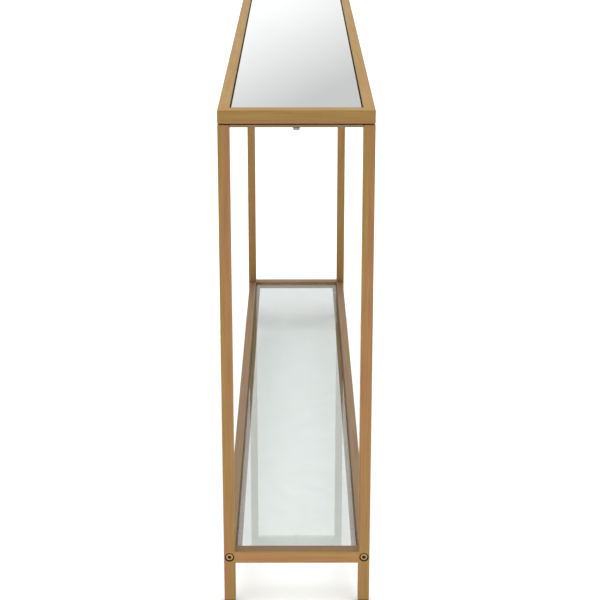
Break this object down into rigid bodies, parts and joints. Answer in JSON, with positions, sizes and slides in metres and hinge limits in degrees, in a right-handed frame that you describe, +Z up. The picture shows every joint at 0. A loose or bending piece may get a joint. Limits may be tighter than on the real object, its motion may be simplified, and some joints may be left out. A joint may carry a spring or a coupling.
{
  "type": "console table",
  "caption": "Narrow console table with a mirror set in a gold tube frame, slim square legs, a low clear glass shelf and screw feet.",
  "frame": {"origin": "on the floor, under the middle of the table", "axes": "+X along the table to its right end, +Y to its back, +Z up"},
  "size_m": [1.4, 0.235, 0.82],
  "materials": {
    "gold_paint": "satin antique gold paint on steel tube and strip",
    "mirror": "plain silvered mirror, polished edges",
    "hardboard": "dark smooth hardboard",
    "clear_glass": "clear tempered float glass, green edges, polished",
    "gold_plate": "antique gold plating on the bolt heads",
    "zinc_plate": "zinc plate",
    "bare_steel": "plain turned steel",
    "clear_rubber": "clear polyurethane",
    "black_nylon": "moulded nylon"
  },
  "bodies": {
    "table": {"back_left_bolt_sleeve": "bare_steel", "back_left_bumper": "clear_rubber", "back_left_leg": "gold_paint", "back_left_leg_socket": "black_nylon", "back_left_rail_insert": "bare_steel", "back_left_shelf_bolt": "gold_plate", "back_right_bolt_sleeve": "bare_steel", "back_right_bumper": "clear_rubber", "back_right_leg": "gold_paint", "back_right_leg_socket": "black_nylon", "back_right_rail_insert": "bare_steel", "back_right_shelf_bolt": "gold_plate", "front_left_bolt_sleeve": "bare_steel", "front_left_bumper": "clear_rubber", "front_left_leg": "gold_paint", "front_left_leg_socket": "black_nylon", "front_left_rail_insert": "bare_steel", "front_left_shelf_bolt": "gold_plate", "front_right_bolt_sleeve": "bare_steel", "front_right_bumper": "clear_rubber", "front_right_leg": "gold_paint", "front_right_leg_socket": "black_nylon", "front_right_rail_insert": "bare_steel", "front_right_shelf_bolt": "gold_plate", "glass_shelf": "clear_glass", "left_rivet_nut": "zinc_plate", "left_top_bolt": "zinc_plate", "left_top_strap": "gold_paint", "left_top_washer": "zinc_plate", "lower_left_rail": "gold_paint", "lower_right_rail": "gold_paint", "mirror_backing": "hardboard", "mirror_top": "mirror", "right_rivet_nut": "zinc_plate", "right_top_bolt": "zinc_plate", "right_top_strap": "gold_paint", "right_top_washer": "zinc_plate", "shelf_back_ledge": "gold_paint", "shelf_back_rail": "gold_paint", "shelf_front_ledge": "gold_paint", "shelf_front_rail": "gold_paint", "shelf_left_ledge": "gold_paint", "shelf_right_ledge": "gold_paint", "top_back_ledge": "gold_paint", "top_back_rail": "gold_paint", "top_front_ledge": "gold_paint", "top_front_rail": "gold_paint", "top_left_ledge": "gold_paint", "top_left_rail": "gold_paint", "top_right_ledge": "gold_paint", "top_right_rail": "gold_paint"},
    "front_left_foot": {"front_left_foot_pad": "black_nylon", "front_left_foot_stud": "zinc_plate"},
    "back_left_foot": {"back_left_foot_pad": "black_nylon", "back_left_foot_stud": "zinc_plate"},
    "front_right_foot": {"front_right_foot_pad": "black_nylon", "front_right_foot_stud": "zinc_plate"},
    "back_right_foot": {"back_right_foot_pad": "black_nylon", "back_right_foot_stud": "zinc_plate"}
  },
  "joints": [
    {"name": "front_left_foot_travel", "type": "slide", "parent": "table", "child": "front_left_foot", "axis": [0, 0, -1], "range_m": [0, 0.01]},
    {"name": "back_left_foot_travel", "type": "slide", "parent": "table", "child": "back_left_foot", "axis": [0, 0, -1], "range_m": [0, 0.01]},
    {"name": "front_right_foot_travel", "type": "slide", "parent": "table", "child": "front_right_foot", "axis": [0, 0, -1], "range_m": [0, 0.01]},
    {"name": "back_right_foot_travel", "type": "slide", "parent": "table", "child": "back_right_foot", "axis": [0, 0, -1], "range_m": [0, 0.01]}
  ]
}
